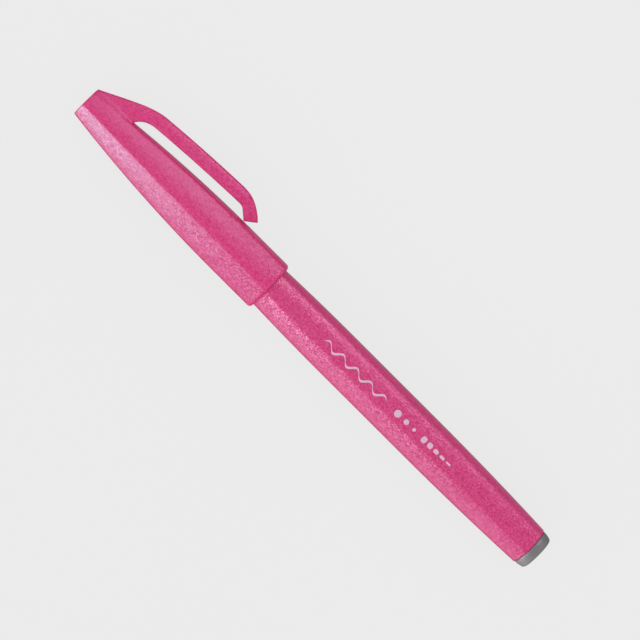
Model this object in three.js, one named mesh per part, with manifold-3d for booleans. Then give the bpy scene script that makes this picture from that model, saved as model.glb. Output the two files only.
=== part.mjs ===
// A capped brush pen, lying on its side. Millimetres.
// +X runs along the pen's axis from the tail to the capped writing end, +Z is up, and the pocket clip
// points towards -Y. The origin is the centre of the tail plug's flat end face.
import * as THREE from "three";
import { mergeVertices } from "three/addons/utils/BufferGeometryUtils.js";
import Module from "manifold-3d";

const wasm = await Module();
wasm.setup();

const DEGREE = Math.PI / 180;

// ---- Driving dimensions -------------------------------------------------------------------------------

const PEN_LENGTH = 139; // tail face to the cap's end face
const BARREL_RADIUS = 5.54; // axis to corner at the barrel's thickest
const BARREL_FLAT = { apothem: 0.957, crown: 0.72 }; // as shares of the corner radius
const CAP_RADIUS = 6.55; // axis to corner at the cap's mouth
const CAP_LENGTH = 56.55;
const CAP_FLAT = { apothem: 0.93, crown: 2.1 }; // as shares of the corner radius
const FIT_GAP = 0.1; // between a press-fitted piece and its seat
const CUT_GAP = 0.3; // where one moulding is divided so that it can flex
const BARREL_TURN = -9 * DEGREE; // the barrel's flats are out of line with the cap's by this much

const CAP_MOUTH = PEN_LENGTH - CAP_LENGTH;
const PLUG_HEAD = 2.3; // the visible thickness of the tail plug
const BARREL_TAIL = PLUG_HEAD + FIT_GAP;
const SHOULDER = CAP_MOUTH + 0.6; // where the barrel steps down to its neck
const NECK_END = SHOULDER + 10.1;
const NECK_RADIUS = 4.55;
const BORE_RADIUS = 3.9; // the barrel's main bore
const NECK_BORE = 3.55;
const HOLDER_FRONT = NECK_END + 18.2; // where the nib comes out
const NIB_RADIUS = 1.15;
const NIB_LENGTH = 41.5;
const NIB_POINT = HOLDER_FRONT + 6.8;
const FLEX_PLANE = HOLDER_FRONT + 0.95; // where the nib bends
const LINER_RIM = NECK_END + 1.3;
const LINER_END = LINER_RIM + 30.5;
const RESERVOIR_TAIL = 9.6;
const RESERVOIR_FRONT = SHOULDER - 0.6;

const CLIP_WIDTH = 3.4;
const CLIP_EDGE = 0.6; // rounding of the clip's long edges
const CLIP_ROOT = 125.6; // where the clip arm flexes

const ROUND_STEPS = 48; // facets round the barrel and the cap
const INNER_STEPS = 36; // facets round the smaller turned pieces

// ---- Materials ----------------------------------------------------------------------------------------

const plastic = (color, roughness) => new THREE.MeshStandardMaterial({ color, roughness, metalness: 0 });
const PEARL_PINK = plastic(0xd6508a, 0.35);
const GREY = plastic(0x6e7473, 0.45);
const NATURAL = plastic(0xe9e4e2, 0.5);
const INKED_FIBRE = plastic(0xc2185f, 0.9);
const CLEAR_FILM = plastic(0xf3c6d6, 0.3);

// ---- Helpers ------------------------------------------------------------------------------------------

// The distance from the axis to a crowned flat, at an angle from the flat's middle. The flat is an arc
// about a centre that lies crown behind the axis: a larger crown makes a flatter flat.
function flatDistance({ apothem, crown }, angle) {
  return Math.sqrt((apothem + crown) ** 2 - (crown * Math.sin(angle)) ** 2) - crown * Math.cos(angle);
}

const scaledFlat = ({ apothem, crown }, size) => ({ apothem: apothem * size, crown: crown * size });

// A piece turned about the X axis. Each station is [x, radius] or, where six flats are cut,
// [x, radius, flat]. A corner between two flats faces +Z.
function turned(stations, steps) {
  const profile = stations.map(([x, radius]) => new THREE.Vector2(radius, x));
  const geometry = new THREE.LatheGeometry(profile, steps);
  const position = geometry.getAttribute("position");
  for (let i = 0; i < position.count; i++) {
    const [, radius, flat] = stations[i % stations.length];
    if (flat === undefined) continue;
    const angle = Math.atan2(position.getX(i), position.getZ(i));
    const fromCorner = THREE.MathUtils.euclideanModulo(angle, 60 * DEGREE);
    const share = Math.min(1, flatDistance(flat, fromCorner - 30 * DEGREE) / radius);
    position.setX(i, position.getX(i) * share);
    position.setZ(i, position.getZ(i) * share);
  }
  return geometry.rotateZ(-90 * DEGREE);
}

// Evenly spaced numbers from a to b, both included.
const spread = (a, b, count) => Array.from({ length: count }, (_, i) => a + ((b - a) * i) / (count - 1));

// A quarter round, as [x, radius] stations, from the end face at x to the side at radius.
function roundedEdge(x, radius, size, inward, count = 4) {
  const angles = spread(0, 90 * DEGREE, count);
  return angles.map((a) => [x + inward * size * (1 - Math.cos(a)), radius - size * (1 - Math.sin(a))]);
}

function solidOf(geometry) {
  const bare = new THREE.BufferGeometry().setAttribute("position", geometry.getAttribute("position"));
  if (geometry.index) bare.setIndex(geometry.index);
  const merged = mergeVertices(bare, 1e-3);
  const vertProperties = merged.getAttribute("position").array;
  const triVerts = new Uint32Array(merged.index.array);
  return new wasm.Manifold(new wasm.Mesh({ numProp: 3, vertProperties, triVerts }));
}

function geometryOf(solid) {
  const mesh = solid.getMesh();
  const geometry = new THREE.BufferGeometry();
  geometry.setAttribute("position", new THREE.BufferAttribute(new Float32Array(mesh.vertProperties), 3));
  geometry.setIndex(new THREE.BufferAttribute(new Uint32Array(mesh.triVerts), 1));
  geometry.computeVertexNormals();
  return geometry;
}

function node(name, geometry, material) {
  const mesh = new THREE.Mesh(geometry, material);
  mesh.name = name;
  return mesh;
}

// ---- Barrel -------------------------------------------------------------------------------------------

const TAIL_TAPER = { from: 36, drop: 0.73, run: 33.5 };
const FRONT_TAPER = { from: 62, drop: 0.354, run: 20.3 };

// The barrel swells gently: it is widest in the middle, and curves in towards the tail and the cap.
function barrelRadius(x) {
  const tail = Math.max(0, (TAIL_TAPER.from - x) / TAIL_TAPER.run);
  const front = Math.max(0, (x - FRONT_TAPER.from) / FRONT_TAPER.run);
  return BARREL_RADIUS - TAIL_TAPER.drop * tail ** 2 - FRONT_TAPER.drop * front ** 2;
}

function makeBarrel() {
  const edge = 0.25;
  const bead = { x: SHOULDER + 6.6, height: 0.17, ramp: 0.5 };
  const skin = [
    ...spread(BARREL_TAIL + edge, TAIL_TAPER.from, 6),
    ...spread(TAIL_TAPER.from + 13, FRONT_TAPER.from, 2),
    ...spread(FRONT_TAPER.from + 6, SHOULDER, 4),
  ];
  const shell = turned(
    [
      [BARREL_TAIL, barrelRadius(BARREL_TAIL) - edge],
      ...skin.map((x) => [x, barrelRadius(x), scaledFlat(BARREL_FLAT, barrelRadius(x))]),
      [SHOULDER, NECK_RADIUS],
      [bead.x - bead.ramp, NECK_RADIUS],
      [bead.x, NECK_RADIUS + bead.height],
      [bead.x + bead.ramp, NECK_RADIUS],
      [NECK_END - edge, NECK_RADIUS],
      [NECK_END, NECK_RADIUS - edge],
      [NECK_END, NECK_BORE],
      [SHOULDER + 0.7, NECK_BORE],
      [SHOULDER, BORE_RADIUS],
      [BARREL_TAIL, BORE_RADIUS],
      [BARREL_TAIL, barrelRadius(BARREL_TAIL) - edge],
    ],
    ROUND_STEPS,
  );
  let solid = solidOf(shell);
  // Ribs in the bore hold the reservoir on the axis, and air passes between them.
  const rib = { count: 6, length: 26, width: 0.8, height: 0.3, x: 30 };
  for (let i = 0; i < rib.count; i++) {
    const box = new THREE.BoxGeometry(rib.length, rib.width, rib.height + 0.4);
    box.translate(rib.x, 0, BORE_RADIUS - rib.height / 2 + 0.2);
    box.rotateX((i + 0.5) * 60 * DEGREE);
    solid = solid.add(solidOf(box));
  }
  const mesh = node("barrel", geometryOf(solid), PEARL_PINK);
  mesh.rotation.x = BARREL_TURN;
  return mesh;
}

// A press-in plug with a dished edge. Its skirt is a cup that opens towards the reservoir.
function makeTailPlug() {
  const head = { radius: 4.52, rim: 4.24, rounding: 0.6 };
  const skirt = { radius: BORE_RADIUS - FIT_GAP, bore: 2.9, end: 9, floor: 3.2 };
  const stations = [
    [0, 0],
    ...roundedEdge(0, head.rim, head.rounding, 1),
    [PLUG_HEAD - 0.7, head.radius],
    [PLUG_HEAD, head.radius],
    [PLUG_HEAD, skirt.radius],
    [skirt.end - 0.4, skirt.radius],
    [skirt.end, skirt.radius - 0.2],
    [skirt.end, skirt.bore],
    [skirt.floor, skirt.bore],
    [skirt.floor, 0],
  ];
  return node("tail_plug", turned(stations, INNER_STEPS), GREY);
}

// ---- Writing end --------------------------------------------------------------------------------------

// The grey front section: a shank pressed into the barrel's neck, a land that the cap liner seals on, and
// a cone.
function makeNibHolder() {
  const rear = SHOULDER + 1;
  const shank = NECK_BORE - FIT_GAP;
  const bore = NIB_RADIUS + FIT_GAP;
  const flange = NECK_END + FIT_GAP;
  const cone = { start: flange + 5.9, radius: 3.6, end: HOLDER_FRONT - 1.9, tip: 2.0 };
  const stations = [
    [rear, 2.4],
    [rear, shank - 0.2],
    [rear + 0.4, shank],
    [flange, shank],
    [flange, 4.3],
    [flange + 0.9, 4.3],
    [flange + 0.9, 3.98],
    [cone.start - 0.5, 3.98],
    [cone.start, cone.radius],
    [cone.end, cone.tip],
    [cone.end, cone.tip - 0.2],
    [HOLDER_FRONT, 1.62],
    [HOLDER_FRONT, bore],
    [flange - 0.4, bore],
    [flange - 1.4, 2.4],
    [rear, 2.4],
  ];
  return node("nib_holder", turned(stations, INNER_STEPS), GREY);
}

// The fixed part of the nib, from inside the reservoir to where the point starts to bend.
function makeNibShank() {
  const tail = NIB_POINT - NIB_LENGTH;
  const end = FLEX_PLANE - CUT_GAP / 2;
  const stations = [
    [tail, 0],
    [tail, NIB_RADIUS - 0.3],
    [tail + 0.5, NIB_RADIUS],
    [end, NIB_RADIUS],
    [end, 0],
  ];
  return node("nib_shank", turned(stations, INNER_STEPS), INKED_FIBRE);
}

// The bendable point: full at its root, then drawn down to a fine tip. Its root is coned to clear the shank
// when it bends.
function makeNibPoint() {
  const start = FLEX_PLANE + CUT_GAP / 2;
  const cone = { radius: 0.5, length: 0.42 };
  const length = NIB_POINT - start;
  const side = spread(cone.length / length, 0.97, 7);
  const stations = [
    [start, 0],
    [start, cone.radius],
    ...side.map((t) => [start + length * t, NIB_RADIUS * Math.sqrt(1 - t ** 1.7)]),
    [NIB_POINT, 0],
  ];
  return node("nib_point", turned(stations, INNER_STEPS), INKED_FIBRE);
}

// ---- Ink supply ---------------------------------------------------------------------------------------

const CORE_RADIUS = 3.2;

// A bundle of fibres, with a blind hole in its front end for the nib's tail.
function makeReservoirCore() {
  const hole = { radius: NIB_RADIUS + FIT_GAP, floor: NIB_POINT - NIB_LENGTH - FIT_GAP };
  const stations = [
    [RESERVOIR_TAIL, 0],
    [RESERVOIR_TAIL, CORE_RADIUS - 0.2],
    [RESERVOIR_TAIL + 0.2, CORE_RADIUS],
    [RESERVOIR_FRONT - 0.2, CORE_RADIUS],
    [RESERVOIR_FRONT, CORE_RADIUS - 0.2],
    [RESERVOIR_FRONT, hole.radius],
    [hole.floor, hole.radius],
    [hole.floor, 0],
  ];
  return node("reservoir_core", turned(stations, INNER_STEPS), INKED_FIBRE);
}

// The film sleeve that holds the fibres together. It is open at both ends.
function makeReservoirFilm() {
  const inside = CORE_RADIUS + 0.08;
  const outside = inside + 0.2;
  const inset = 0.5;
  const stations = [
    [RESERVOIR_TAIL + inset, inside],
    [RESERVOIR_TAIL + inset, outside],
    [RESERVOIR_FRONT - inset, outside],
    [RESERVOIR_FRONT - inset, inside],
    [RESERVOIR_TAIL + inset, inside],
  ];
  return node("reservoir_film", turned(stations, INNER_STEPS), CLEAR_FILM);
}

// ---- Cap ----------------------------------------------------------------------------------------------

const CAP_TAPER = { from: PEN_LENGTH - 45, drop: 3.07, run: 45 };

// The cap is straight at its mouth and curves in to a blunt end.
function capRadius(x) {
  const end = Math.max(0, (x - CAP_TAPER.from) / CAP_TAPER.run);
  return CAP_RADIUS - CAP_TAPER.drop * end ** 2;
}

// The inside of the shell, from the mouth to the liner's seat.
const SHELL_BORE = [
  [CAP_MOUTH, 5.28],
  [SHOULDER + 0.2, 5.28],
  [SHOULDER + 0.2, 4.85],
  [NECK_END + 1, 4.85],
  [110, 4.45],
  [LINER_END + 0.4, 3.72],
];

// The clip's side view, as x along the pen and y outwards from the axis, from its root at the cap's end face.
// The arm is 3.1 deep all along. It rises from the end face, runs nearly level, and hooks down to its foot.
function clipOutline() {
  const shape = new THREE.Shape();
  shape.moveTo(PEN_LENGTH, 2.9);
  shape.lineTo(PEN_LENGTH, 4.05);
  shape.lineTo(130, 8.62);
  shape.quadraticCurveTo(127, 10.12, 123.1, 10.33);
  shape.quadraticCurveTo(112.4, 11.27, 101.8, 11.58);
  shape.quadraticCurveTo(97.2, 11.6, 94.15, 8.08);
  shape.lineTo(96.65, 6.32);
  shape.lineTo(98.7, 8.04);
  shape.quadraticCurveTo(99.15, 8.42, 99.9, 8.45);
  shape.quadraticCurveTo(112, 8.09, 124.4, 7.06);
  shape.quadraticCurveTo(127.4, 6.68, 128.6, 4.3);
  shape.lineTo(129.3, 3.75);
  shape.lineTo(PEN_LENGTH, 2.9);
  return shape;
}

// The whole clip moulding, with rounded long edges, standing out towards -Y and centred on the pen's axis.
function clipSolid() {
  const geometry = new THREE.ExtrudeGeometry(clipOutline(), {
    depth: CLIP_WIDTH - 2 * CLIP_EDGE,
    curveSegments: 6,
    bevelThickness: CLIP_EDGE,
    bevelSize: CLIP_EDGE,
    bevelOffset: -CLIP_EDGE,
    bevelSegments: 2,
  });
  geometry.translate(0, 0, CLIP_EDGE - CLIP_WIDTH / 2);
  return solidOf(geometry.rotateX(180 * DEGREE));
}

// The slab of space from x = from to x = to, big enough to hold any part of the clip.
function slab(from, to) {
  const size = 30;
  return solidOf(new THREE.BoxGeometry(to - from, size, size).translate((from + to) / 2, 0, 0));
}

function makeCapShell() {
  const lip = 0.85;
  const vent = 0.8;
  const edge = 0.25;
  const hollow = { start: LINER_END + 0.4, radius: 3.3, end: PEN_LENGTH - 2.4, tip: 2.2 };
  const skin = spread(CAP_TAPER.from, PEN_LENGTH - edge, 9);
  const endRadius = capRadius(PEN_LENGTH) - edge;
  const shell = turned(
    [
      ...roundedEdge(CAP_MOUTH, CAP_RADIUS, lip, 1).map(([x, r]) => [x, r, scaledFlat(CAP_FLAT, r)]),
      ...skin.map((x) => [x, capRadius(x), scaledFlat(CAP_FLAT, capRadius(x))]),
      [PEN_LENGTH, endRadius, scaledFlat(CAP_FLAT, endRadius)],
      [PEN_LENGTH, vent],
      [hollow.end, vent],
      [hollow.end, hollow.tip],
      [hollow.start, hollow.radius],
      ...SHELL_BORE.toReversed(),
      [CAP_MOUTH, CAP_RADIUS - lip, scaledFlat(CAP_FLAT, CAP_RADIUS - lip)],
    ],
    ROUND_STEPS,
  );
  const root = clipSolid().intersect(slab(CLIP_ROOT + CUT_GAP / 2, PEN_LENGTH));
  return node("cap_shell", geometryOf(solidOf(shell).add(root)), PEARL_PINK);
}

function makePocketClip() {
  const arm = clipSolid().intersect(slab(CLIP_ROOT - 40, CLIP_ROOT - CUT_GAP / 2));
  return node("pocket_clip", geometryOf(arm), PEARL_PINK);
}

// A thin cup pressed into the shell. Its rim seals on the nib holder, so that the nib doesn't dry out.
function makeCapLiner() {
  const wall = 0.55;
  const outside = SHELL_BORE.slice(-2).map(([x, r]) => [x, r - FIT_GAP]);
  const [[midX, midRadius], [, endRadius]] = outside;
  const stations = [
    [LINER_RIM, 4.12],
    [LINER_RIM, 4.5],
    [LINER_RIM + 1, 4.68],
    [midX, midRadius],
    [LINER_END - 0.3, endRadius],
    [LINER_END, endRadius - 0.3],
    [LINER_END, 0],
    [LINER_END - 1, 0],
    [LINER_END - 1, endRadius - wall],
    [midX, midRadius - wall],
    [LINER_RIM + 5, 4.08],
    [LINER_RIM, 4.12],
  ];
  return node("cap_liner", turned(stations, INNER_STEPS), NATURAL);
}

// ---- Assembly -----------------------------------------------------------------------------------------

const body = new THREE.Group();
body.add(makeBarrel(), makeTailPlug(), makeNibHolder(), makeNibShank(), makeNibPoint());
body.add(makeReservoirCore(), makeReservoirFilm());

const cap = new THREE.Group();
cap.add(makeCapShell(), makePocketClip(), makeCapLiner());

const pen = new THREE.Group();
pen.add(body, cap);

export default pen;
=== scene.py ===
"""A capped brush pen in pearly pink plastic, with its pocket clip, grey end plug, liner and fibre nib.

Lengths in this script are millimetres in the CAD frame: +X from the tail to the nib, +Z up, clip towards -Y.
Meshes are scaled to metres as they are made. An angle about the pen runs from +Z towards the clip.
"""
import math

import bmesh
import bpy
import numpy as np
from mathutils import Matrix, Vector


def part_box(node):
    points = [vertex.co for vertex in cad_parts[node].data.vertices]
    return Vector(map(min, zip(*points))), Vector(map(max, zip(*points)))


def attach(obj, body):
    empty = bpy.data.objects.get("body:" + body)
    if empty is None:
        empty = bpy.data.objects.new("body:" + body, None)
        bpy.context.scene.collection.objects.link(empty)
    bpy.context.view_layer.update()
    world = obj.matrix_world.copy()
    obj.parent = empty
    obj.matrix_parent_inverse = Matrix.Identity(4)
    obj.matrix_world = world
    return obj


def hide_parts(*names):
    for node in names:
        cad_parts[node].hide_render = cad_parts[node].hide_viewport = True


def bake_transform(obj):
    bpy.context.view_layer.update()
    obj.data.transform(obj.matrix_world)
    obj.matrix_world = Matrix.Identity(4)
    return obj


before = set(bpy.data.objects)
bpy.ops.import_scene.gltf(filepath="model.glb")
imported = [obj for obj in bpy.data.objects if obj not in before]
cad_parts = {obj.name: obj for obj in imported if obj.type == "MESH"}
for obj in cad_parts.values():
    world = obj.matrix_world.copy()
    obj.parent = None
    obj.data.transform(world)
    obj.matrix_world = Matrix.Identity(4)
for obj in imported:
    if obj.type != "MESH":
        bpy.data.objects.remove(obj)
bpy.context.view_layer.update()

MM = 0.001


# ---- Sizes ---------------------------------------------------------------------------------------

def span(node, axis):
    """A CAD node's lowest and highest coordinate along an axis (0, 1, 2), in millimetres."""
    low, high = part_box(node)
    return low[axis] / MM, high[axis] / MM


TAIL, PLUG_END = span("tail_plug", 0)
PLUG_RADIUS = span("tail_plug", 2)[1]
BARREL_TAIL, NECK_END = span("barrel", 0)
CAP_MOUTH, PEN_END = span("cap_shell", 0)
CAP_RADIUS = span("cap_shell", 2)[1]
HOLDER_REAR, HOLDER_FRONT = span("nib_holder", 0)
LINER_RIM, LINER_END = span("cap_liner", 0)
NIB_REAR, NIB_BREAK = span("nib_shank", 0)
NIB_RADIUS = span("nib_shank", 2)[1]
NIB_START, NIB_POINT = span("nib_point", 0)
CLIP_FOOT = span("pocket_clip", 0)[0]
CLIP_TOP = -span("pocket_clip", 1)[0]
CLIP_HALF_WIDTH = span("pocket_clip", 2)[1]

SIDES = 6
SECTOR = 2 * math.pi / SIDES
SHOULDER = CAP_MOUTH + 0.6  # where the barrel steps down to its neck
BARREL_RADIUS = 5.54
BARREL_TURN = math.radians(-9)  # the angle of the barrel's upper corner
CAP_STRAIGHT = PEN_END - 45  # where the cap begins to taper
CAP_DROP = 3.07  # what the taper takes off the cap's radius
CAP_WAIST = CAP_MOUTH + 27.55  # where the insides of the cap begin to narrow faster
SPLIT = PEN_END - 12  # where the clip's arm is divided from the cap's moulding

# A flat's distance from the axis, and how far past the axis its arc is centred, as shares of the
# corner radius.
BARREL_FLAT = 0.957, 0.72
CAP_FLAT = 0.93, 1.6


# ---- Small helpers -------------------------------------------------------------------------------

def round_max(a, b, radius):
    """Intersection of two solids given by signed distances, with a rounded edge."""
    outside = np.hypot(np.maximum(a + radius, 0), np.maximum(b + radius, 0))
    return np.minimum(np.maximum(a, b), -radius) + outside


def round_min(a, b, radius):
    """Union of two solids given by signed distances, with a fillet between them."""
    return -round_max(-a, -b, radius)


def soft_min(a, b, width):
    """The smaller of two numbers, with the change from one to the other spread over width."""
    near = np.maximum(width - np.abs(a - b), 0) / width
    return np.minimum(a, b) - near * near * width / 4


def rounded_profile(corners, steps=5):
    """A polyline of (x, radius) with its corners rounded. Each corner is (x, r) or (x, r, rounding)."""
    points = []
    count = len(corners)
    for i, corner in enumerate(corners):
        here = np.array(corner[:2], float)
        size = corner[2] if len(corner) > 2 else 0
        if size == 0 or i in (0, count - 1):
            points.append(here)
            continue
        before = np.array(corners[i - 1][:2], float) - here
        after = np.array(corners[i + 1][:2], float) - here
        before /= np.linalg.norm(before)
        after /= np.linalg.norm(after)
        half = math.acos(np.clip(before @ after, -1, 1)) / 2
        reach = size / math.tan(half)
        centre = here + (before + after) / np.linalg.norm(before + after) * size / math.sin(half)
        start, end = here + before * reach, here + after * reach
        for t in np.linspace(0, 1, steps + 1):
            ray = start * (1 - t) + end * t - centre
            points.append(centre + ray / np.linalg.norm(ray) * size)
    return np.array(points)


def refine(points, longest):
    """The same polyline with extra points, so that no step is longer than longest."""
    out = [points[0]]
    for a, b in zip(points[:-1], points[1:]):
        pieces = max(1, math.ceil(np.linalg.norm(b - a) / longest))
        out += [a + (b - a) * k / pieces for k in range(1, pieces + 1)]
    return np.array(out)


def mesh_object(name, vertices, faces):
    """A smooth-shaded mesh object from millimetre vertices."""
    mesh = bpy.data.meshes.new(name)
    mesh.from_pydata((np.asarray(vertices) * MM).tolist(), [], [list(f) for f in faces])
    mesh.validate()
    mesh.shade_smooth()
    piece = bpy.data.objects.new(name, mesh)
    bpy.context.scene.collection.objects.link(piece)
    return piece


def outward(piece):
    """Turns every face of a closed mesh outwards."""
    work = bmesh.new()
    work.from_mesh(piece.data)
    bmesh.ops.recalc_face_normals(work, faces=work.faces)
    work.to_mesh(piece.data)
    work.free()


def turned(name, profile, steps, radius_at=None, crease=40):
    """A closed solid turned about the X axis. A profile that ends on the axis is closed by poles, and any
    other closes on itself. radius_at(radius, angle) may change the radius with the angle about the pen."""
    on_axis = profile[0][1] < 1e-6 and profile[-1][1] < 1e-6
    ring = profile[1:-1] if on_axis else profile
    angles = np.arange(steps) * 2 * math.pi / steps
    x = np.repeat(ring[:, 0], steps)
    r = np.repeat(ring[:, 1], steps)
    a = np.tile(angles, len(ring))
    if radius_at is not None:
        r = radius_at(r, a)
    vertices = np.stack([x, -r * np.sin(a), r * np.cos(a)], 1)
    rows = len(ring)
    after = [(j + 1) % steps for j in range(steps)]
    faces = []
    for i in range(rows if not on_axis else rows - 1):
        below, above = i * steps, (i + 1) % rows * steps
        faces += [(below + j, below + after[j], above + after[j], above + j) for j in range(steps)]
    if on_axis:
        first, last = len(vertices), len(vertices) + 1
        vertices = np.vstack([vertices, [profile[0][0], 0, 0], [profile[-1][0], 0, 0]])
        top = (rows - 1) * steps
        faces += [(first, after[j], j) for j in range(steps)]
        faces += [(last, top + j, top + after[j]) for j in range(steps)]
    piece = mesh_object(name, vertices, faces)
    outward(piece)
    piece.data.set_sharp_from_angle(angle=math.radians(crease))
    return piece


# ---- Solids as signed distances, for the moulding that branches ----------------------------------

def gradient(field, points):
    """The slope of a field at each point."""
    step = 0.01
    slope = np.empty_like(points)
    for axis in range(3):
        shift = np.zeros(3)
        shift[axis] = step
        slope[:, axis] = (field(points + shift) - field(points - shift)) / (2 * step)
    return slope


def settle(field, points, rounds=5):
    """Points moved along the field's slope onto its surface, by no more than a short reach in each round."""
    reach = 0.15
    for _ in range(rounds):
        slope = gradient(field, points)
        size = np.maximum((slope * slope).sum(1), 1e-4)
        move = np.clip(field(points) / size, -reach, reach)
        points = points - move[:, None] * slope
    return points


def neighbour_slices(axis):
    """Two views of a grid along an axis: each point that has a next one, and those next ones."""
    lower = [slice(None)] * 3
    upper = [slice(None)] * 3
    lower[axis] = slice(0, -1)
    upper[axis] = slice(1, None)
    return tuple(lower), tuple(upper)


def cell_crossings(axes, grids, value):
    """For each cell of a grid, the sum of the places where its edges cross the surface, and their number."""
    cells = tuple(n - 1 for n in value.shape)
    total = np.zeros(cells + (3,))
    hits = np.zeros(cells)
    for axis in range(3):
        lower, upper = neighbour_slices(axis)
        a, b = value[lower], value[upper]
        crossed = (a < 0) != (b < 0)
        t = np.where(crossed, a / np.where(crossed, a - b, 1), 0)
        place = [g[lower].copy() for g in grids]
        step = np.diff(axes[axis]).reshape([-1 if k == axis else 1 for k in range(3)])
        place[axis] = place[axis] + t * step
        first, second = [k for k in range(3) if k != axis]
        for shift_first, shift_second in ((0, 0), (0, 1), (1, 0), (1, 1)):
            part = [slice(None)] * 3
            part[first] = slice(shift_first, shift_first + cells[first])
            part[second] = slice(shift_second, shift_second + cells[second])
            hit = crossed[tuple(part)]
            hits += hit
            for k in range(3):
                total[..., k] += np.where(hit, place[k][tuple(part)], 0)
    return total, hits


def crossing_quads(inside, number):
    """A quad round each edge of the grid that crosses the surface, facing out, from its cells' numbers."""
    quads = []
    for axis in range(3):
        b, c = (axis + 1) % 3, (axis + 2) % 3
        lower, upper = neighbour_slices(axis)
        start, end = inside[lower], inside[upper]
        where = np.argwhere(start != end)
        keep = np.all([(where[:, k] > 0) & (where[:, k] < number.shape[k]) for k in (b, c)], 0)
        where = where[keep]
        leaving = start[tuple(where.T)]
        corners = []
        for shift_b, shift_c in ((-1, -1), (0, -1), (0, 0), (-1, 0)):
            cell = where.copy()
            cell[:, b] += shift_b
            cell[:, c] += shift_c
            corners.append(number[tuple(cell.T)])
        corners = np.stack(corners, 1)
        quads.append(np.where(leaving[:, None], corners, corners[:, ::-1]))
    return np.concatenate(quads)


def evened_out(field, vertices, quads):
    """Vertices drawn towards the middle of their neighbours, and settled onto the surface each time."""
    edges = np.concatenate([quads[:, [k, (k + 1) % 4]] for k in range(4)])
    degree = np.bincount(edges.ravel(), minlength=len(vertices))
    vertices = settle(field, vertices)
    for _ in range(3):
        beside = np.zeros_like(vertices)
        np.add.at(beside, edges[:, 0], vertices[edges[:, 1]])
        np.add.at(beside, edges[:, 1], vertices[edges[:, 0]])
        vertices = settle(field, vertices * 0.5 + beside / degree[:, None] * 0.5, rounds=2)
    return settle(field, vertices)


def skin(field, xs, ys, zs):
    """Vertices and quads of the surface where a field is zero, with one vertex in each cell it crosses."""
    grids = np.meshgrid(xs, ys, zs, indexing="ij")
    points = np.stack([g.ravel() for g in grids], 1)
    value = field(points).reshape(grids[0].shape)
    total, hits = cell_crossings((xs, ys, zs), grids, value)
    used = hits > 0
    number = np.full(hits.shape, -1)
    number[used] = np.arange(used.sum())
    quads = crossing_quads(value < 0, number)
    return evened_out(field, total[used] / hits[used][:, None], quads), quads


def cut_off(piece, x, side, reaches):
    """Cuts away what lies beyond the plane at x, towards +X or -X, and closes the cut. reaches(centres) says
    which faces the cut reaches, from their centres."""
    work = bmesh.new()
    work.from_mesh(piece.data)
    centres = np.array([f.calc_center_median() for f in work.faces]) / MM
    faces = [f for f, hit in zip(work.faces, reaches(centres)) if hit]
    verts = dict.fromkeys(v for f in faces for v in f.verts)
    edges = dict.fromkeys(e for f in faces for e in f.edges)
    made = bmesh.ops.bisect_plane(
        work,
        geom=[*verts, *edges, *faces],
        dist=1e-7,
        plane_co=(x * MM, 0, 0),
        plane_no=(side, 0, 0),
        clear_outer=True,
    )
    rim = [e for e in made["geom_cut"] if isinstance(e, bmesh.types.BMEdge)]
    bmesh.ops.contextual_create(work, geom=rim)
    work.to_mesh(piece.data)
    work.free()


def skin_object(name, field, xs, ys, zs, cut):
    """The skin of a field as an object with exact normals, cut off at cut, which is (x, side, reaches)."""
    vertices, quads = skin(field, xs, ys, zs)
    piece = mesh_object(name, vertices, quads)
    cut_off(piece, *cut)
    points = np.array([v.co for v in piece.data.vertices]) / MM
    slope = gradient(field, points)
    slope /= np.linalg.norm(slope, axis=1)[:, None]
    piece.data.shade_smooth()
    piece.data.normals_split_custom_set_from_vertices(slope.tolist())
    return piece


# ---- Materials -----------------------------------------------------------------------------------

class Nodes:
    """A short way to write a node material: each call adds a node and links or sets its inputs."""

    def __init__(self, name):
        self.material = bpy.data.materials.new(name)
        self.material.use_nodes = True
        self.tree = self.material.node_tree
        self.tree.nodes.clear()
        self.output = self.tree.nodes.new("ShaderNodeOutputMaterial")
        self.place = self.add("TexCoord").outputs["Object"]

    def add(self, kind, inputs=None, **settings):
        node = self.tree.nodes.new("ShaderNode" + kind)
        for key, value in settings.items():
            setattr(node, key, value)
        for key, value in (inputs or {}).items():
            socket = node.inputs[key]
            if isinstance(value, bpy.types.NodeSocket):
                self.tree.links.new(value, socket)
            else:
                socket.default_value = value
        return node

    def noise(self, scale, detail, roughness=0.5, stretch=None):
        place = self.place
        if stretch is not None:
            place = self.add("Mapping", {"Vector": place, "Scale": stretch}).outputs["Vector"]
        settings = {"Vector": place, "Scale": scale, "Detail": detail, "Roughness": roughness}
        return self.add("TexNoise", settings).outputs["Fac"]

    def ramp(self, factor, low, high, out_low, out_high):
        """A value that goes from out_low to out_high as factor goes from low to high."""
        ends = {"From Min": low, "From Max": high, "To Min": out_low, "To Max": out_high}
        return self.add("MapRange", {"Value": factor, **ends}).outputs["Result"]

    def mix_colour(self, factor, a, b):
        return self.add("Mix", {0: factor, 6: a, 7: b}, data_type="RGBA").outputs[2]

    def bump(self, height, distance, strength):
        inputs = {"Height": height, "Distance": distance * MM, "Strength": strength}
        return self.add("Bump", inputs).outputs["Normal"]

    def principled(self, base_colour, roughness, **inputs):
        """A principled shader. Underscores in the names of its other inputs stand for spaces."""
        settings = {key.replace("_", " "): value for key, value in inputs.items()}
        shader = self.add("BsdfPrincipled", {"Base Color": base_colour, "Roughness": roughness, **settings})
        return shader.outputs[0]

    def mix_shader(self, factor, a, b):
        return self.add("MixShader", {"Fac": factor, 1: a, 2: b}).outputs[0]

    def finish(self, shader):
        self.tree.links.new(shader, self.output.inputs["Surface"])
        return self.material


def colour(red, green, blue):
    return (red, green, blue, 1.0)


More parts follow.
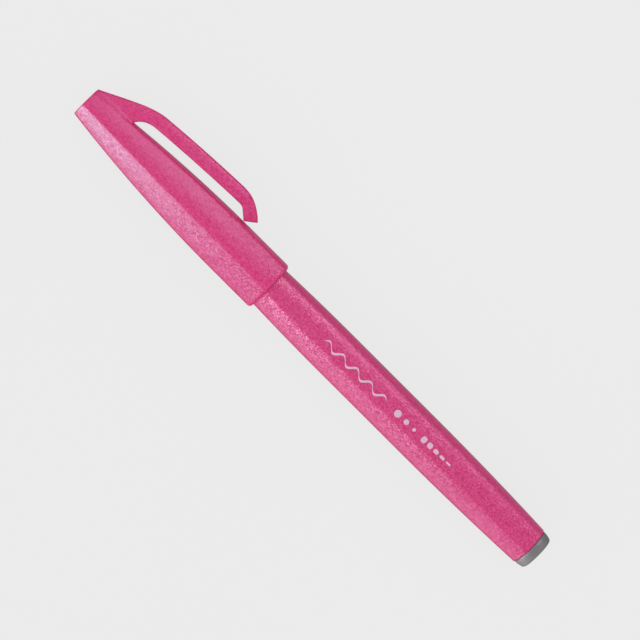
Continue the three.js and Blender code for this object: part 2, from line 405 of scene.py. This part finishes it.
def pearl_plastic(name, deep, pale, sheen, roughness, mica_share):
    """Pink plastic full of fine mica. Each flake has its own shade and its own slight tilt."""
    flakes_per_metre, most_tilt, flow_share = 3400.0, 0.22, 0.15
    n = Nodes(name)
    flakes = n.add("TexVoronoi", {"Vector": n.place, "Scale": flakes_per_metre}).outputs["Color"]
    tilt = n.add("VectorMath", {0: flakes, 1: (0.5, 0.5, 0.5)}, operation="SUBTRACT").outputs[0]
    lean = n.add("VectorMath", {0: tilt, "Scale": most_tilt}, operation="SCALE").outputs[0]
    normal = n.add("NewGeometry").outputs["Normal"]
    leaning = n.add("VectorMath", {0: normal, 1: lean}, operation="ADD").outputs[0]
    flake_normal = n.add("VectorMath", {0: leaning}, operation="NORMALIZE").outputs[0]
    flow = n.noise(90.0, detail=3.0, stretch=(0.25, 1.0, 1.0))
    shade = n.add("SeparateColor", {"Color": flakes}).outputs[0]
    flow_tone = n.ramp(flow, 0.35, 0.65, 0.0, flow_share)
    tone = n.add("Math", {0: flow_tone, 1: n.ramp(shade, 0.0, 1.0, 0.0, 1.0 - flow_share)}).outputs[0]
    body = n.mix_colour(tone, deep, pale)
    base = n.principled(body, roughness, IOR=1.49, Specular_IOR_Level=0.28, Specular_Tint=sheen)
    mica = n.principled(sheen, 0.40, Metallic=1.0, Normal=flake_normal)
    share = n.ramp(shade, 0.0, 1.0, 0.6 * mica_share, 1.4 * mica_share)
    return n.finish(n.mix_shader(share, base, mica))


def grey_plastic():
    """Grey plastic with a faintly grained satin surface."""
    n = Nodes("grey plastic")
    cloud = n.noise(180.0, detail=4.0)
    grain = n.bump(n.noise(9000.0, detail=2.0), 0.012, 0.5)
    body = n.mix_colour(cloud, colour(0.107, 0.096, 0.102), colour(0.127, 0.114, 0.121))
    satin = n.ramp(cloud, 0.3, 0.7, 0.44, 0.54)
    return n.finish(n.principled(body, satin, IOR=1.78, Specular_IOR_Level=0.95, Normal=grain))


def natural_plastic():
    """Uncoloured polypropylene: milky, and lit a little from within."""
    n = Nodes("natural plastic")
    cloud = n.noise(220.0, detail=3.0)
    body = n.mix_colour(cloud, colour(0.74, 0.71, 0.68), colour(0.84, 0.81, 0.78))
    satin = n.ramp(cloud, 0.3, 0.7, 0.35, 0.50)
    return n.finish(n.principled(body, satin, Subsurface_Weight=0.3, Subsurface_Scale=0.6 * MM))


def inked_fibre():
    """Bonded fibres along the axis, soaked with magenta ink."""
    n = Nodes("inked fibre")
    strands = n.noise(5200.0, detail=3.0, stretch=(0.05, 1.0, 1.0))
    wet = n.noise(500.0, detail=2.0)
    body = n.mix_colour(strands, colour(0.34, 0.004, 0.085), colour(0.62, 0.022, 0.190))
    damp = n.ramp(wet, 0.3, 0.7, 0.50, 0.72)
    return n.finish(n.principled(body, damp, Normal=n.bump(strands, 0.05, 0.8)))


def clear_film():
    """The reservoir's thin sleeve, tinted by the fibres inside it."""
    n = Nodes("clear film")
    crinkle = n.noise(900.0, detail=3.0, stretch=(0.4, 1.0, 1.0))
    body = n.mix_colour(crinkle, colour(0.70, 0.36, 0.48), colour(0.84, 0.55, 0.66))
    gloss = n.ramp(crinkle, 0.3, 0.7, 0.12, 0.28)
    return n.finish(n.principled(body, gloss, Normal=n.bump(crinkle, 0.05, 0.6)))


def white_ink():
    """Pad-printed ink: thin, and a little uneven."""
    n = Nodes("white ink")
    wear = n.noise(2600.0, detail=5.0, roughness=0.7)
    thin = n.ramp(wear, 0.50, 0.72, 0.0, 0.6)
    body = n.mix_colour(thin, colour(0.72, 0.50, 0.60), colour(0.66, 0.16, 0.34))
    return n.finish(n.principled(body, n.ramp(wear, 0.3, 0.7, 0.40, 0.55)))


def floor_paint():
    """A plain pale sweep that mostly glows, so that its tone stays even."""
    n = Nodes("pale floor")
    body = n.mix_colour(n.noise(6.0, detail=2.0), colour(0.83, 0.83, 0.83), colour(0.84, 0.84, 0.84))
    matte = n.add("BsdfDiffuse", {"Color": body}).outputs[0]
    glow = n.add("Emission", {"Color": body, "Strength": 1.0}).outputs[0]
    return n.finish(n.mix_shader(0.93, matte, glow))


BARREL_PINK = pearl_plastic(
    "barrel pink",
    deep=colour(0.562, 0.004, 0.120),
    pale=colour(0.768, 0.024, 0.206),
    sheen=colour(0.75, 0.84, 1.0),
    roughness=0.31,
    mica_share=0.064,
)
CAP_PINK = pearl_plastic(
    "cap pink",
    deep=colour(0.620, 0.006, 0.133),
    pale=colour(0.830, 0.031, 0.215),
    sheen=colour(0.10, 0.86, 0.98),
    roughness=0.36,
    mica_share=0.037,
)
GREY = grey_plastic()
NATURAL = natural_plastic()
FIBRE = inked_fibre()
FILM = clear_film()
INK = white_ink()


def dress(piece, material):
    piece.data.materials.clear()
    piece.data.materials.append(material)


# ---- Barrel --------------------------------------------------------------------------------------

# The barrel narrows towards both ends: where that starts, and what it takes off the radius over a run.
TAIL_TAPER = {"from": 36, "drop": 0.73, "run": 33.5}
FRONT_TAPER = {"from": 62, "drop": 0.354, "run": 20.3}
RIDGE_SOFTNESS = 0.10


def barrel_radius(x):
    tail = np.maximum(0, (TAIL_TAPER["from"] - x) / TAIL_TAPER["run"])
    front = np.maximum(0, (x - FRONT_TAPER["from"]) / FRONT_TAPER["run"])
    return BARREL_RADIUS - TAIL_TAPER["drop"] * tail**2 - FRONT_TAPER["drop"] * front**2


def from_flat(angle):
    """The angle to the middle of the nearest flat, where a corner faces angle zero."""
    return np.mod(angle, SECTOR) - SECTOR / 2


def barrel_surface(radius, angle):
    """The barrel's radius at an angle about the pen, with its six crowned flats cut."""
    apothem, crown = (share * radius for share in BARREL_FLAT)
    off = from_flat(angle - BARREL_TURN)
    flat = np.sqrt((apothem + crown) ** 2 - (crown * np.sin(off)) ** 2) - crown * np.cos(off)
    return soft_min(radius, flat, RIDGE_SOFTNESS)


def make_barrel():
    bore, neck, neck_bore = 3.9, 4.55, 3.55
    edge, spacing = 0.22, 0.6
    bead, bead_reach, bead_height = SHOULDER + 6.6, 0.5, 0.17
    front_edge = SHOULDER - edge
    xs = np.concatenate([np.arange(BARREL_TAIL + edge, front_edge, spacing), [front_edge]])
    side = np.stack([xs, barrel_radius(xs)], 1)
    tail_corner = (BARREL_TAIL, barrel_radius(BARREL_TAIL), edge)
    tail_edge = rounded_profile([(BARREL_TAIL, bore), tail_corner, tuple(side[1])])[1:-1]
    front = rounded_profile([
        tuple(side[-1]),
        (SHOULDER, barrel_radius(SHOULDER), 0.15),
        (SHOULDER, neck, 0.12),
        (bead - bead_reach, neck, 0.4),
        (bead, neck + bead_height, 0.3),
        (bead + bead_reach, neck, 0.4),
        (NECK_END, neck, edge),
        (NECK_END, neck_bore, 0.1),
        (SHOULDER + 0.7, neck_bore),
        (SHOULDER, bore),
        (BARREL_TAIL, bore),
    ])
    profile = np.vstack([tail_edge, side[1:-1], refine(front, 1.5)])
    piece = turned("barrel_moulding", profile, steps=240, radius_at=barrel_surface)
    dress(piece, BARREL_PINK)
    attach(piece, "body")
    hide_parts("barrel")


# ---- Printed marks -------------------------------------------------------------------------------

PRINT_START = PEN_END - 72.7  # the marks begin here and run towards the tail
PRINT_ANGLE = math.radians(8)  # the angle about the pen of their centre line


def strip_on_barrel(along, across, half, vertices, faces):
    """Adds a closed sliver of ink that follows a line on the barrel. along runs from the print's start to the
    tail, across is the arc distance from its centre line, and half is the half width at each point."""
    lanes, top, sunk = 4, 0.02, 0.04
    first = len(vertices)
    for a, c, w in zip(along, across, half):
        for height in (top, -sunk):
            for lane in range(lanes + 1):
                arc = c + w * (2 * lane / lanes - 1)
                x = PRINT_START - a
                angle = PRINT_ANGLE + arc / BARREL_RADIUS
                r = barrel_surface(barrel_radius(x), angle) + height
                vertices.append((x, -r * math.sin(angle), r * math.cos(angle)))
    row = 2 * (lanes + 1)
    loop = list(range(lanes + 1)) + list(range(row - 1, lanes, -1))
    for i in range(len(along) - 1):
        a, b = first + i * row, first + (i + 1) * row
        for k in range(row):
            p, q = loop[k], loop[(k + 1) % row]
            faces.append((a + p, a + q, b + q, b + p))
    last = first + (len(along) - 1) * row
    faces.append(tuple(first + k for k in reversed(loop)))
    faces.append(tuple(last + k for k in loop))


def make_print():
    """Three plain marks in place of lettering: a brush stroke that swells and thins, three dots from broad to
    fine, and a row of short dashes."""
    vertices, faces = [], []
    middle, least_half = 0.1, 0.01

    stroke_start, stroke_length, turns, swing = 0.2, 18.8, 4.5, 0.72
    t = np.linspace(0, 1, 220)
    wave = 2 * np.pi * turns * t
    swell = 0.21 + 0.12 * np.cos(wave)
    ends = np.minimum(1, 14 * np.minimum(t, 1 - t)) ** 0.5
    across, half = swing * np.sin(wave) + middle, swell * ends + least_half
    strip_on_barrel(stroke_start + stroke_length * t, across, half, vertices, faces)

    dot_centre, dot_gap = 22.6, 1.75
    u = np.linspace(-0.995, 0.995, 17)
    for radius in (0.85, 0.62, 0.40):
        half = radius * np.sqrt(1 - u * u) + least_half
        strip_on_barrel(dot_centre + radius * u, middle + 0 * u, half, vertices, faces)
        dot_centre += radius + dot_gap

    dashes_start, dash_pitch, dash_length = 30.0, 1.85, 1.25
    u = np.linspace(0, 1, 8)
    ends = np.minimum(1, 5 * np.minimum(u, 1 - u) + 0.35)
    for i in range(5):
        half = (0.75 - 0.13 * i) * ends
        along = dashes_start + dash_pitch * i + dash_length * u
        strip_on_barrel(along, middle + 0 * u, half, vertices, faces)

    piece = mesh_object("barrel_marks", np.array(vertices), faces)
    outward(piece)
    piece.data.set_sharp_from_angle(angle=math.radians(40))
    dress(piece, INK)
    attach(piece, "body")


# ---- Tail plug -----------------------------------------------------------------------------------

def make_tail_plug():
    skirt, skirt_bore, floor = 3.8, 2.9, 3.2
    head_end = BARREL_TAIL - 0.1  # a fine gap shows between the plug's head and the barrel
    profile = rounded_profile([
        (TAIL, 0),
        (TAIL, PLUG_RADIUS - 0.33, 0.6),
        (BARREL_TAIL - 0.8, PLUG_RADIUS, 0.5),
        (head_end, PLUG_RADIUS, 0.08),
        (head_end, skirt),
        (PLUG_END, skirt, 0.3),
        (PLUG_END, skirt_bore, 0.1),
        (floor, skirt_bore, 0.4),
        (floor, 0),
    ], steps=8)
    piece = turned("end_plug", refine(profile, 0.8), steps=160)
    dress(piece, GREY)
    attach(piece, "body")
    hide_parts("tail_plug")


# ---- Writing end ---------------------------------------------------------------------------------

def make_nib_holder():
    hollow, shank, bore = 2.4, 3.45, NIB_RADIUS + 0.1
    flange, flange_radius = NECK_END + 0.1, 4.3
    cone, body_radius = flange + 5.9, 3.98
    profile = rounded_profile([
        (HOLDER_REAR, hollow),
        (HOLDER_REAR, shank, 0.25),
        (flange, shank),
        (flange, flange_radius, 0.08),
        (flange + 0.9, flange_radius, 0.2),
        (flange + 0.9, body_radius, 0.05),
        (cone - 0.4, body_radius, 0.4),
        (cone, 3.6, 0.5),
        (HOLDER_FRONT - 1.9, 2.0, 1.2),
        (HOLDER_FRONT, 1.62, 0.18),
        (HOLDER_FRONT, bore, 0.08),
        (flange - 0.4, bore),
        (flange - 1.4, hollow),
        (HOLDER_REAR, hollow),
    ], steps=6)[:-1]
    piece = turned("front_section", profile, steps=144)
    dress(piece, GREY)
    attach(piece, "body")
    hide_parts("nib_holder")


def make_nib():
    """The fibre nib: a round shank, and a point that tapers from its root."""
    root = (NIB_BREAK + NIB_START) / 2
    t = np.linspace(0, 1, 40)[:-1] ** 0.9
    point = np.stack([root + (NIB_POINT - root) * t, NIB_RADIUS * np.sqrt(1 - t**1.7)], 1)
    rear = rounded_profile([(NIB_REAR, 0), (NIB_REAR, NIB_RADIUS, 0.3), (root, NIB_RADIUS)])[:-1]
    shank = refine(np.array([rear[-1], point[0]]), 0.5)[1:-1]
    profile = np.vstack([refine(rear, 2.0), shank, point, [(NIB_POINT, 0)]])
    piece = turned("fibre_nib", profile, steps=72, crease=60)
    dress(piece, FIBRE)
    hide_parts("nib_shank", "nib_point")
    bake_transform(piece)


# ---- Clip ----------------------------------------------------------------------------------------

def bend_to(outline, control, end, steps=9):
    """Carries an outline on from its last point to end, along a quadratic curve drawn towards control."""
    start, control, end = outline[-1], np.array(control), np.array(end)
    t = np.linspace(0, 1, steps + 1)[1:, None]
    outline += list((1 - t) ** 2 * start + 2 * t * (1 - t) * control + t**2 * end)


def clip_outline():
    """The clip's side view as (x, distance from the axis), once round."""
    past_end = PEN_END + 1  # the cap's moulding is cut off square at PEN_END later on
    outline = [np.array(p) for p in ((past_end, 2.0), (past_end, 3.54), (130.0, 8.62))]
    bend_to(outline, (127.0, 10.12), (123.1, 10.33))
    bend_to(outline, (112.4, 11.27), (101.8, 11.58))
    bend_to(outline, (97.2, 11.6), (94.15, 8.08), 14)
    outline += [np.array(p) for p in ((96.65, 6.32), (98.7, 8.04))]
    bend_to(outline, (99.15, 8.42), (99.9, 8.45), 5)
    bend_to(outline, (112.0, 8.09), (124.4, 7.06))
    bend_to(outline, (127.4, 6.68), (128.6, 4.3), 12)
    outline.append(np.array((129.2, 2.0)))
    return np.array(outline)


CLIP_OUTLINE = clip_outline()
CLIP_MIDDLE = np.array([(94.2, 6.4), (99.5, 9.95), (123.8, 8.7), (127.8, 7.2), (PEN_END, 2.9)])
CLIP_HALF_DEPTH = 1.6  # from its middle line to its inner and its outer side, roughly
CLIP_EDGES = 0.40, 0.50  # rounding of its long edges, on its inner and its outer side
CLIP_DRAFT, CLIP_CROWN = 0.17, 0.06  # how its sides lean and curve in towards its outer side


def outline_distance(x, u):
    """Signed distance in the side view from the clip's outline, negative inside it."""
    nearest = np.full(x.shape, 1e9)
    inside = np.zeros(x.shape, bool)
    for a, b in zip(CLIP_OUTLINE, np.roll(CLIP_OUTLINE, -1, 0)):
        edge = b - a
        t = np.clip(((x - a[0]) * edge[0] + (u - a[1]) * edge[1]) / (edge @ edge), 0, 1)
        nearest = np.minimum(nearest, (x - a[0] - t * edge[0]) ** 2 + (u - a[1] - t * edge[1]) ** 2)
        crosses = (a[1] > u) != (b[1] > u)
        if a[1] != b[1]:
            inside ^= crosses & (x < a[0] + (u - a[1]) * edge[0] / edge[1])
    return np.where(inside, -1, 1) * np.sqrt(nearest)


def clip_field(p):
    """The clip's outline made solid, with sides that lean in towards its outer side."""
    x, u = p[:, 0], -p[:, 1]
    depth = u - np.interp(x, CLIP_MIDDLE[:, 0], CLIP_MIDDLE[:, 1])
    outward_share = np.clip(0.5 + depth / (2 * CLIP_HALF_DEPTH), 0, 1)
    edge = CLIP_EDGES[0] + (CLIP_EDGES[1] - CLIP_EDGES[0]) * outward_share
    out = np.clip(depth + CLIP_HALF_DEPTH, 0, 4)
    side = np.abs(p[:, 2]) - CLIP_HALF_WIDTH + CLIP_DRAFT * out + CLIP_CROWN * out**2
    return round_max(outline_distance(x, u), side, edge)


def past_split(centres):
    """Which faces of the clip's arm lie near or past the place where it is divided off."""
    return centres[:, 0] > SPLIT - 1


def make_clip():
    """The clip's arm. It reaches a hair past the cap's cut, so that no gap shows."""
    spacing, aside = 0.2, 0.007  # aside keeps the grid's planes off the clip's middle
    xs = np.arange(CLIP_FOOT - 0.6, SPLIT + 1.2, spacing)
    ys = np.arange(-CLIP_TOP - 0.5, -4.9, spacing)
    zs = np.arange(-CLIP_HALF_WIDTH - 0.4, CLIP_HALF_WIDTH + 0.4, spacing) + aside
    piece = skin_object("clip_arm", clip_field, xs, ys, zs, cut=(SPLIT + 0.03, 1, past_split))
    dress(piece, CAP_PINK)
    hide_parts("pocket_clip")
    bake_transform(piece)


# ---- Cap -----------------------------------------------------------------------------------------

CAP_LIP = 0.85  # rounding of the cap's outer edge at its mouth
AIR_HOLE_RADIUS = 0.8
CAVITY = np.array([
    (CAP_MOUTH - 0.15, 5.28),
    (CAP_MOUTH + 0.65, 5.28),
    (CAP_MOUTH + 1.05, 4.85),
    (CAP_MOUTH + 11.55, 4.85),
    (CAP_WAIST, 4.45),
    (CAP_MOUTH + 42.45, 3.72),
    (CAP_MOUTH + 43.05, 3.3),
    (PEN_END - 2.4, 2.2),
])  # the hollow's radius along x
ROOT_FILLET = 0.3, 1.3  # where the clip's root meets the cap, on its inner side and at the cap's end
ROOT_FILLET_FROM, ROOT_FILLET_RUN = PEN_END - 10.8, 4.5  # where the fillet grows from the one to the other


def cap_field(p):
    """The cap's shell, without the clip."""
    x, y, z = p.T
    r = np.hypot(y, z)
    end = np.maximum(0, (x - CAP_STRAIGHT) / (PEN_END - CAP_STRAIGHT))
    radius = CAP_RADIUS - CAP_DROP * end**2
    off = from_flat(np.arctan2(-y, z))
    apothem, crown = (share * radius for share in CAP_FLAT)
    near = np.hypot(r * np.cos(off) + crown, r * np.sin(off)) - apothem - crown
    next_off = SECTOR - np.abs(off)
    far = np.hypot(r * np.cos(next_off) + crown, r * np.sin(next_off)) - apothem - crown
    ridge = 0.22 + 0.12 * (1 - end)  # the cap's long edges are softer towards its mouth
    body = round_max(near, far, ridge)
    return round_max(body, CAP_MOUTH - x, CAP_LIP)


def cavity_field(p):
    """The hollow inside the cap, and the small air hole in its end."""
    x, y, z = p.T
    r = np.hypot(y, z)
    hollow = round_max(r - np.interp(x, CAVITY[:, 0], CAVITY[:, 1]), x - CAVITY[-1, 0], 0.3)
    return np.minimum(hollow, r - AIR_HOLE_RADIUS)


def cap_and_root_field(p):
    """The cap's moulding with the clip's root, cut off square at its end and hollowed."""
    moulding = cap_field(p)
    near = p[:, 0] > SPLIT - 5
    q = p[near]
    growth = np.clip((q[:, 0] - ROOT_FILLET_FROM) / ROOT_FILLET_RUN, 0, 1)
    fillet = ROOT_FILLET[0] + (ROOT_FILLET[1] - ROOT_FILLET[0]) * growth
    moulding[near] = round_min(moulding[near], clip_field(q), fillet)
    moulding = round_max(moulding, p[:, 0] - PEN_END, 0.3)
    return round_max(moulding, -cavity_field(p), 0.2)


def in_arm(centres):
    """Which faces of the cap's moulding belong to the clip's arm, next to where it is divided off."""
    x, y = centres[:, 0], centres[:, 1]
    return (y < -5.4) & (x < SPLIT + 1) & (x > SPLIT - 6)


def make_cap():
    """The cap's moulding, with the clip's root but not its arm."""
    at_mouth, along_sides, at_root, across = 0.17, 0.55, 0.22, 0.23  # spacings of the grid
    aside = 0.013  # keeps the grid's planes off the pen's middle
    xs = np.concatenate([
        np.arange(CAP_MOUTH - 0.39, CAP_MOUTH + 2, at_mouth),
        np.arange(CAP_MOUTH + 2.2, SPLIT - 4, along_sides),
        np.arange(SPLIT - 3.8, PEN_END + 0.6, at_root),
    ])
    ys = np.arange(-10.6, 6.6, across)
    zs = np.arange(-7.1, 7.1, across) + aside
    piece = skin_object("cap_moulding", cap_and_root_field, xs, ys, zs, cut=(SPLIT, -1, in_arm))
    dress(piece, CAP_PINK)
    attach(piece, "cap")
    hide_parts("cap_shell")


def make_liner():
    """The cup inside the cap. Its rim is a little narrower than the widest place, which is just inside it."""
    wall, floor = 0.55, 1
    rim_bore, waist_radius, end_radius = 4.12, 4.35, 3.62
    outer = rounded_profile([
        (LINER_RIM, rim_bore),
        (LINER_RIM, 4.5, 0.15),
        (LINER_RIM + 1, 4.68),
        (CAP_WAIST, waist_radius),
        (LINER_END, end_radius, 0.5),
        (LINER_END, 0),
    ])
    inner = rounded_profile([
        (LINER_END - floor, 0),
        (LINER_END - floor, end_radius - wall, 0.4),
        (CAP_WAIST, waist_radius - wall),
        (LINER_RIM + 5, 4.08),
        (LINER_RIM + 0.05, rim_bore),
    ])
    piece = turned("seal_liner", refine(np.vstack([inner, outer]), 1.5), steps=128)
    dress(piece, NATURAL)
    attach(piece, "liner")
    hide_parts("cap_liner")


# ---- Stage, in metres ----------------------------------------------------------------------------

VIEW_CENTRE = Vector((69.7, -2.7, 0)) * MM
VIEW_FOOT = 108.4 * MM  # the camera's place along the pen
VIEW_DISTANCE = 0.725
VIEW_ROLL = 6.3  # degrees about the pen, from straight above it towards the clip
VIEW_ANGLE = 10.941  # the camera's field of view in degrees
HIGHLIGHT_DISTANCE, FILL_DISTANCE = 0.9, 1.2  # from the pen's middle to the lights of either kind


def make_floor():
    half_size, gap, centre = 1.5, 0.0002, 0.07
    work = bmesh.new()
    bmesh.ops.create_grid(work, x_segments=24, y_segments=24, size=half_size)
    mesh = bpy.data.meshes.new("floor")
    work.to_mesh(mesh)
    work.free()
    floor = bpy.data.objects.new("floor", mesh)
    floor.location = (centre, 0, -CAP_RADIUS * MM - gap)
    bpy.context.scene.collection.objects.link(floor)
    mesh.materials.append(floor_paint())
    floor.visible_diffuse = False
    floor.visible_glossy = False


def around(degrees):
    """A direction square to the pen's axis, at an angle about the pen."""
    angle = math.radians(degrees)
    return Vector((0, -math.sin(angle), math.cos(angle)))


def placed(location, x_axis, y_axis, z_axis):
    """The matrix of an object at location, with its own axes along these directions."""
    return Matrix.Translation(location) @ Matrix((x_axis, y_axis, z_axis)).transposed().to_4x4()


def make_camera():
    """The camera sees the pen along the picture's diagonal, with the cap's end up."""
    data = bpy.data.cameras.new("camera")
    data.angle = math.radians(VIEW_ANGLE)
    data.clip_start, data.clip_end = 0.05, 20
    camera = bpy.data.objects.new("camera", data)
    bpy.context.scene.collection.objects.link(camera)
    location = Vector((VIEW_FOOT, VIEW_CENTRE.y, 0)) + around(VIEW_ROLL) * VIEW_DISTANCE
    back = (location - VIEW_CENTRE).normalized()
    diagonal = (Vector((1, 0, 0)) + around(VIEW_ROLL + 90)).normalized()
    right = diagonal.cross(back).normalized()
    camera.matrix_world = placed(location, right, back.cross(right), back)
    bpy.context.scene.camera = camera


def softbox(name, angle, lean, width, height, radiance, highlights):
    """A rectangular light that faces the middle of the pen, from an angle about the pen and leaning to the
    nib, both in degrees. width runs along the pen. It makes either highlights only, or only diffuse light."""
    data = bpy.data.lights.new(name, "AREA")
    data.shape = "RECTANGLE"
    data.size, data.size_y = width, height
    data.energy = radiance * math.pi * width * height
    light = bpy.data.objects.new(name, data)
    bpy.context.scene.collection.objects.link(light)
    back = (around(angle) + Vector((math.tan(math.radians(lean)), 0, 0))).normalized()
    side = back.cross(Vector((1, 0, 0))).normalized()
    along = side.cross(back).normalized()
    distance = HIGHLIGHT_DISTANCE if highlights else FILL_DISTANCE
    light.matrix_world = placed(VIEW_CENTRE + back * distance, along, side, back)
    light.visible_diffuse = not highlights
    light.visible_glossy = highlights


def make_world():
    """A pale room. It is darker below the table top and overhead, so that faces turned to the camera stay
    deep, and a little darker on the clip's side."""
    world = bpy.data.worlds.new("studio")
    world.use_nodes = True
    tree = world.node_tree
    place = tree.nodes.new("ShaderNodeTexCoord")
    parts = tree.nodes.new("ShaderNodeSeparateXYZ")
    tree.links.new(place.outputs["Generated"], parts.inputs[0])

    def ramp(axis, low, high, out_low, out_high):
        node = tree.nodes.new("ShaderNodeMapRange")
        node.interpolation_type = "SMOOTHSTEP"
        ends = {"From Min": low, "From Max": high, "To Min": out_low, "To Max": out_high}
        for socket, value in ends.items():
            node.inputs[socket].default_value = value
        tree.links.new(parts.outputs[axis], node.inputs["Value"])
        return node.outputs[0]

    def product(a, b):
        node = tree.nodes.new("ShaderNodeMath")
        node.operation = "MULTIPLY"
        tree.links.new(a, node.inputs[0])
        tree.links.new(b, node.inputs[1])
        return node.outputs[0]

    below = ramp("Z", -0.3, 0.2, 0.42, 0.96)
    overhead = ramp("Z", 0.55, 0.85, 1.0, 0.27)
    clip_side = ramp("Y", -1.0, -0.2, 0.74, 1.0)
    background = tree.nodes["Background"]
    tree.links.new(product(product(below, overhead), clip_side), background.inputs["Strength"])
    background.inputs["Color"].default_value = colour(0.98, 0.99, 1.0)
    bpy.context.scene.world = world


def make_lights():
    softbox("main softbox", -60, lean=29.5, width=0.62, height=0.56, radiance=10.0, highlights=True)
    softbox("low bounce", -98, lean=0, width=1.6, height=0.55, radiance=1.1, highlights=True)
    softbox("side strip", 63.5, lean=6.4, width=0.27, height=0.27, radiance=6.8, highlights=True)
    softbox("fill", -60, lean=5, width=1.2, height=1.2, radiance=0.60, highlights=False)
    softbox("top fill", 8, lean=0, width=1.2, height=1.0, radiance=1.56, highlights=False)
    softbox("clip side fill", 75, lean=0, width=1.2, height=1.2, radiance=0.15, highlights=False)


make_camera()
make_barrel()
make_print()
make_tail_plug()
make_nib_holder()
make_nib()
make_cap()
make_clip()
make_liner()
for node, material in (("reservoir_core", FIBRE), ("reservoir_film", FILM)):
    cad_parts[node].data.materials[0] = material
make_floor()
make_lights()
make_world()
bpy.context.scene.view_settings.view_transform = "Standard"
